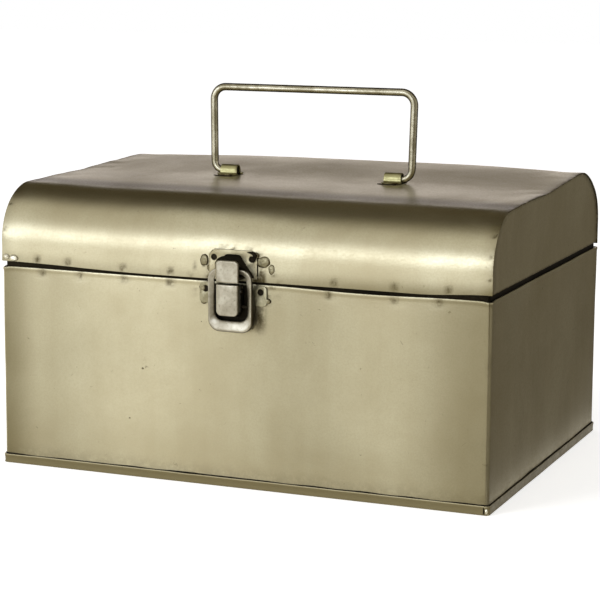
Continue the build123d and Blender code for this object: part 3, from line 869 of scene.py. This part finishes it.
def pillow(name, box, radii, front, back, edge, spread=0.0, hollow=0.0, crown=0.12):
    """Pressed cover: a round-cornered face with soft edges, its walls spreading towards the wall behind."""
    left, right, bottom, top = box
    middle = Vector(((left + right) / 2, (bottom + top) / 2))
    layers = [(-spread, back), (-spread * 0.3, (back + front) / 2)]
    for a in (0, 0.4, 0.8, 1.2, math.pi / 2):
        layers.append((edge * (1 - math.cos(a)), front - edge + edge * math.sin(a)))
    rings = []
    for inset, s in layers:
        low_r, high_r = (max(0.3, r - inset) for r in radii)
        ceiling = top - max(0.0, inset)
        outline = rounded_box(left + inset, right - inset, bottom + inset, ceiling, low_r, high_r)
        rings.append([(x, -DEPTH / 2 - s, z) for x, z in outline])
    last = rings[-1]
    for t in (0.93, 0.8, 0.6, 0.4, 0.2, 0.05):
        rings.append([(middle.x + (x - middle.x) * t, y - crown * (1 - t * t), middle.y + (z - middle.y) * t)
                      for x, y, z in last])
    if hollow:
        inner = []
        for inset, s in [(hollow - spread, back), (hollow, front - hollow)]:
            outline = rounded_box(left + inset, right - inset, bottom + inset, top - inset, 0.6, 0.4)
            inner.append([(x, -DEPTH / 2 - s, z) for x, z in outline])
        rings = inner[::-1] + rings
    count = len(rings[0])
    points = [point for ring in rings for point in ring]
    faces = [tuple(range(count))[::-1], tuple(range((len(rings) - 1) * count, len(rings) * count))]
    for i in range(len(rings) - 1):
        for j in range(count):
            a, b = i * count + j, i * count + (j + 1) % count
            faces.append((a, b, b + count, a + count))
    return new_object(name, points, faces)


def press_back(item, limit, narrow=1.0):
    """Set the far part of a copied latch piece back behind its cover, and make it a little narrower."""
    for vertex in item.data.vertices:
        vertex.co.x = LATCH_X * MM + (vertex.co.x - LATCH_X * MM) * narrow
        vertex.co.y = max(vertex.co.y, (-DEPTH / 2 - limit) * MM)


def build_covers():
    lever_box = (LEVER_LEFT, LEVER_RIGHT, LEVER_BOTTOM, LEVER_TOP)
    lever = pillow("lever_cover", lever_box, (3.0, 0.7), LEVER_FRONT, 5.4, 0.8, spread=0.6, hollow=1.0)
    dress(lever, latch_metal, "lever")
    hook_box = (HOOK_LEFT, HOOK_RIGHT, HOOK_BOTTOM, HOOK_TOP)
    hook = pillow("hook_cover", hook_box, (0.7, 2.6), HOOK_FRONT, 8.1, 0.7, crown=0.0)
    dress(hook, latch_metal, "lid")
    # Painted shade round the hook and between the hook and the ring, weld stain and painted shadow at the
    # keeper's upper right, painted shade in the rim's notch, and a painted shade outline round the keeper
    # plate
    patch("keeper_window_shade", [(-11.4, 113.4), (-11.4, 120.2), (-10.2, 122.4), (-7.4, 123.9), (-3.6, 124.7),
                            (1.2, 124.8), (3.9, 123.4), (5.8, 121.0), (8.4, 117.4), (10.4, 114.8),
                            (10.8, 113.4)], 1.0, "lid")
    patch("keeper_stain_and_shadow", [(6.9, 126.9), (8.5, 127.4), (11.4, 127.2), (12.8, 125.6), (12.0, 123.0),
                           (10.6, 121.4), (10.8, 123.6), (10.2, 125.6)], 1.5, "lid")
    patch("rim_notch_shade", [(137.6, 0.7), (138.2, 0.6), (138.1, 4.2), (137.7, 4.3)], 1.05, "body")
    patch("keeper_outline_shade", [(-15.2, 114.5), (-15.2, 124.4), (-13.2, 126.9), (11.0, 126.7), (12.9, 124.4),
                             (12.8, 114.5)], 0.24, "lid")
    holes = [(LATCH_X - KEEPER_HOLE_X, KEEPER_HOLE_Z, "lid"), (LATCH_X + KEEPER_HOLE_X, KEEPER_HOLE_Z, "lid"),
             (LATCH_X - WING_HOLE_X, WING_HOLE_Z, "body"), (LATCH_X + WING_HOLE_X, WING_HOLE_Z, "body")]
    # Dark discs: painted shade inside the screw holes
    for n, (x, z, body) in enumerate(holes):
        r = OPEN_HOLE_R + 0.1
        hole_box = (x - r, x + r, z - r, z + r)
        hole = pillow(f"hole_shade_{n}", hole_box, (r - 0.01, r - 0.01), 0.3, -0.4, 0.1, crown=0)
        dress(hole, painted_shade_metal, body)
    # Painted shade on the keeper plate's lower part, behind the hook
    plate = pillow("keeper_core_shade", (-10.6, 6.5, 112.9, 119.0), (0.6, 2.5), 1.15, 0.3, 0.2, crown=0)
    dress(plate, painted_shade_metal, "lid")
    # Painted shade on the base plate behind the lever, inside the ring
    core_box = (LATCH_X - 10.6, LATCH_X + 10.6, 86.4, 109.3)
    core = pillow("base_core_shade", core_box, (1.0, 0.6), 1.15, 0.3, 0.2, crown=0)
    dress(core, painted_shade_metal, "body")
    return lever, hook


def patch(name, corners, out, body):
    """Thin dark area with an uneven outline on the front wall, its corners given as (x, z), drawn in the
    painted shade colour.
    """
    points = []
    for (x0, z0), (x1, z1) in zip(corners, corners[1:] + corners[:1]):
        for n in range(6):
            x, z = x0 + (x1 - x0) * n / 6, z0 + (z1 - z0) * n / 6
            points.append((x + 0.16 * wave(x, z, 0, 1.7, 83), z + 0.16 * wave(x, z, 0, 1.9, 85)))
    count = len(points)
    item = new_object(name, [(x, -DEPTH / 2 - d, z) for d in (out, out - 0.5) for x, z in points],
                      [tuple(range(count)), tuple(range(2 * count - 1, count - 1, -1))]
                      + [(j, j + count, (j + 1) % count + count, (j + 1) % count) for j in range(count)])
    return dress(item, painted_shade_metal, body)


def blob(name, x, z, out, wide, tall, high, seed, body="lid", plane="front", bright=False):
    """Lump of weld or solder that lies on a wall: wide by tall, standing high out of it."""
    rings, sides = 12, 28
    points = []
    for i in range(rings + 1):
        t = i / rings
        for s in range(sides):
            angle = math.tau * s / sides
            rough = 1 + 0.22 * noise.noise(Vector((math.cos(angle) * 1.4, math.sin(angle) * 1.4, seed)))
            u, v = wide / 2 * t * rough * math.cos(angle), tall / 2 * t * rough * math.sin(angle)
            uneven = 1 + 0.3 * noise.noise(Vector((u * 1.1, v * 1.1, seed + 5)))
            lift = high * math.sqrt(max(0.0, 1 - t ** 2.4)) * uneven
            lift -= 0.2 * t
            if plane == "front":
                points.append((x + u, -DEPTH / 2 - out - lift, z + v))
            else:
                points.append((out + plane * lift, x + u, z + v))
    faces = []
    for i in range(rings):
        for s in range(sides):
            a, b = i * sides + s, i * sides + (s + 1) % sides
            faces.append((a, b, b + sides, a + sides))
    faces.append(tuple(range(rings * sides, (rings + 1) * sides)))
    dirt = 0.25 if bright else 1.0
    rim = [dirt * smoothstep(0.62, 0.9, i / rings) for i in range(rings + 1) for _ in range(sides)]
    item = new_object(name, points, faces, {"tarnish": rim})
    return dress(item, bright_weld if bright else weld_metal, body)


def build_welds():
    lid_blobs = [(-17.9, 120.9, 4.8, 6.0, 0.7), (15.6, 122.0, 8.6, 6.4, 0.8), (20.4, 118.6, 4.0, 5.6, 0.5),
                 (11.6, 125.2, 4.2, 3.0, 1.3), (-15.2, 117.2, 2.6, 3.6, 1.1)]
    for n, (x, z, wide, tall, high) in enumerate(lid_blobs):
        blob(f"keeper_weld_{n}", x, z, 0.0, wide, tall, high, 3.1 * n + 0.4)
    body_blobs = [(-19.0, 106.6, 3.6, 4.4, 0.6), (-18.4, 99.6, 3.4, 3.6, 0.4), (18.0, 101.6, 4.4, 3.0, 0.5)]
    for n, (x, z, wide, tall, high) in enumerate(body_blobs):
        blob(f"base_weld_{n}", x, z, 0.5, wide, tall, high, 2.3 * n + 9.4, body="body")
    specks = [(-55.0, 59.8, 1.3), (-63.0, 31.8, 1.1), (112.0, 19.5, 1.0), (-20.0, 88.0, 0.7),
              (70.0, 70.0, 0.6)]
    for n, (x, z, wide) in enumerate(specks):
        blob(f"speck_{n}", x, z, -0.45, wide, wide * 0.8, 0.35, 61.5 + n, body="body")
    blob("lid_corner_weld_0", -132.6, 114.8, -0.1, 5.6, 3.4, 1.3, 21.7, bright=True)
    blob("lid_corner_weld_1", -137.0, 115.4, -0.1, 3.4, 2.8, 0.9, 24.7, bright=True)
    blob("rim_corner_weld", 139.3, 2.2, 0.8, 1.6, 3.0, 0.35, 51.3, body="body", bright=True)
    for side, places in END_SPOTS.items():
        for n, s in enumerate(places):
            (y, z), (ny, nz) = lid_profile(s)
            side_name = "right" if side > 0 else "left"
            blob(f"end_tack_{side_name}_{n}", y - 1.7 * ny, z - 1.7 * nz, side * (WIDTH / 2 - END_RECESS),
                 1.8, 2.2, 0.4, 30 + n, plane=side)


def build_hardware():
    pieces = [
        ("keeper_plate", "keeper", 0.22, keeper_metal, "lid", "latch_metal"),
        ("latch_base_plate", "latch_base", 0.2, plate_metal, "body", "latch_metal"),
        ("latch_lever", "lever", 0.42, latch_metal, "lever", "latch_metal"),
        # The pins are painted in the shade of the gaps they sit in
        ("latch_lever_pin", "lever_pin", 0.25, painted_shade_metal, "body", "latch_metal"),
        ("latch_loop_pin", "loop_pin", 0.25, painted_shade_metal, "lever", "latch_metal"),
        ("hinge_body_rivets", "body_rivets", 0.35, hinge_metal, "body", "hinge_metal"),
        ("hinge_lid_rivets", "lid_rivets", 0.35, hinge_metal, "lid", "hinge_metal"),
        ("body_lip", "lip", 0.25, lip_shade_metal, "body", "lip_sheet"),
    ]
    for side in ("left", "right"):
        pieces += [
            (f"hinge_{side}_body_leaf", f"{side}_body_leaf", 0.2, hinge_metal, "body", "hinge_metal"),
            (f"hinge_{side}_lid_leaf", f"{side}_lid_leaf", 0.2, hinge_metal, "lid", "hinge_metal"),
            (f"hinge_{side}_pin", f"{side}_hinge_pin", 0.3, hinge_metal, "body", "hinge_metal"),
        ]
    for node, name, width, material, body, slot_name in pieces:
        item = dress(soften(node, name, width, 3), material, body)
        if node == "latch_lever":
            press_back(item, 6.6, 0.93)
        if node == "keeper_plate":
            press_back(item, 8.6)
    lever, hook = build_covers()
    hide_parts("latch_lever")
    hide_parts("keeper_plate")


# Stage, in metres: pale floor, white surroundings, one soft lamp and cards that only shape the reflections
FLOOR_REACH = 4.0
FLOOR_DROP = 0.0002
CARD_FLOOR = 0.001
DARK_CARD = (0.08, 0.06, 0.022)
DIM_CARD = (0.3, 0.27, 0.2)


def make_world():
    world = bpy.data.worlds.new("studio")
    scene.world = world
    world.use_nodes = True
    nodes, links = world.node_tree.nodes, world.node_tree.links
    nodes.clear()
    path = nodes.new("ShaderNodeLightPath")
    seen = nodes.new("ShaderNodeMath")
    seen.operation = "MAXIMUM"
    links.new(path.outputs["Is Camera Ray"], seen.inputs[0])
    links.new(path.outputs["Is Glossy Ray"], seen.inputs[1])
    seen_all = nodes.new("ShaderNodeMath")
    seen_all.operation = "MAXIMUM"
    links.new(seen.outputs[0], seen_all.inputs[0])
    links.new(path.outputs["Is Transmission Ray"], seen_all.inputs[1])
    white = nodes.new("ShaderNodeBackground")
    white.inputs["Color"].default_value = (1, 1, 1, 1)
    white.inputs["Strength"].default_value = 1.0
    dim = nodes.new("ShaderNodeBackground")
    dim.inputs["Color"].default_value = (1, 0.98, 0.95, 1)
    dim.inputs["Strength"].default_value = 0.5
    mix = nodes.new("ShaderNodeMixShader")
    links.new(seen_all.outputs[0], mix.inputs[0])
    links.new(dim.outputs[0], mix.inputs[1])
    links.new(white.outputs[0], mix.inputs[2])
    output = nodes.new("ShaderNodeOutputWorld")
    links.new(mix.outputs[0], output.inputs[0])


def make_floor():
    g = Graph("floor_paper")
    path = g.nodes.new("ShaderNodeLightPath")
    seen = g.math("MAXIMUM", g.math("MAXIMUM", path.outputs["Is Camera Ray"], path.outputs["Is Glossy Ray"]),
                  path.outputs["Is Transmission Ray"])
    diffuse = g.put("ShaderNodeBsdfDiffuse", Color=(0.86, 0.86, 0.86, 1))
    glow = g.put("ShaderNodeEmission", Color=(1, 1, 1, 1), Strength=g.math("MULTIPLY", seen, 0.6))
    both = g.nodes.new("ShaderNodeAddShader")
    g.links.new(diffuse.outputs[0], both.inputs[0])
    g.links.new(glow.outputs[0], both.inputs[1])
    g.links.new(both.outputs[0], g.output.inputs[0])
    mesh = bpy.data.meshes.new("floor")
    size = FLOOR_REACH
    corners = [(-size, -size, 0), (size, -size, 0), (size, size, 0), (-size, size, 0)]
    mesh.from_pydata(corners, [], [(0, 1, 2, 3)])
    floor = bpy.data.objects.new("floor", mesh)
    mesh.materials.append(g.material)
    scene.collection.objects.link(floor)
    floor.location.z = -FLOOR_DROP


def card(name, place, aim, width, height, level):
    """Card that only reflections see, flat or aimed at a point, to set what a side of the metal mirrors."""
    g = Graph(name)
    glow = g.put("ShaderNodeEmission", Color=(*level, 1), Strength=1.0)
    g.links.new(glow.outputs[0], g.output.inputs[0])
    mesh = bpy.data.meshes.new(name)
    w, h = width / 2, height / 2
    mesh.from_pydata([(-w, -h, 0), (w, -h, 0), (w, h, 0), (-w, h, 0)], [], [(0, 1, 2, 3)])
    mesh.materials.append(g.material)
    item = bpy.data.objects.new(name, mesh)
    scene.collection.objects.link(item)
    item.location = place
    if aim:
        item.rotation_euler = (Vector(aim) - Vector(place)).to_track_quat("Z", "Y").to_euler()
    item.visible_camera = False
    item.visible_diffuse = False
    item.visible_shadow = False


def softbox(name, place, aim, width, height, power):
    data = bpy.data.lights.new(name, "AREA")
    data.shape = "RECTANGLE"
    data.size, data.size_y = width, height
    data.energy = power
    item = bpy.data.objects.new(name, data)
    scene.collection.objects.link(item)
    item.location = place
    item.rotation_euler = (Vector(aim) - Vector(place)).to_track_quat("-Z", "Y").to_euler()
    item.visible_camera = False
    item.visible_glossy = False


build_lid_cover()
for side_name, side in (("left", -1), ("right", 1)):
    build_lid_end(side_name, side)
    build_saddle(side_name, side)
build_body_shell()
build_base()
build_handle()
build_loop()
build_hardware()
build_welds()
make_camera()
make_world()
make_floor()
card("card_overhead", (-0.2, 0.6, 0.9), None, 2.8, 1.36, DARK_CARD)
card("card_back_left", (-1.2, 1.3, 0.28), (-1.2, 0, 0.28), 2.6, 0.56, (1.62, 1.51, 1.52))
card("card_back_top", (-1.2, 1.3, 0.73), (-1.2, 0, 0.73), 2.6, 0.34, DARK_CARD)
card("card_back_right", (1.15, 1.3, 0.45), (1.15, 0, 0.45), 2.1, 0.9, (0.22, 0.2, 0.165))
card("card_floor_right", (0.95, 0.5, CARD_FLOOR), None, 1.6, 1.6, (0.18, 0.162, 0.13))
card("card_highlight", (-0.7, -1.5, 0.45), (-0.7, 0, 0.45), 2.6, 0.6, (4.0, 4.35, 5.3))
card("card_floor_left", (-1.5, -0.25, CARD_FLOOR), None, 1.3, 0.8, (1.7, 1.66, 1.55))
card("card_front_right", (1.1, -1.3, 0.6), (1.1, 0, 0.6), 1.8, 1.2, DIM_CARD)
card("card_front_floor", (0.9, -0.7, CARD_FLOOR), None, 1.4, 1.1, DIM_CARD)
softbox("softbox_key", (-1.1, -1.5, 1.6), (0, 0, 0.1), 1.0, 0.7, 20)

scene.view_settings.view_transform = "Standard"
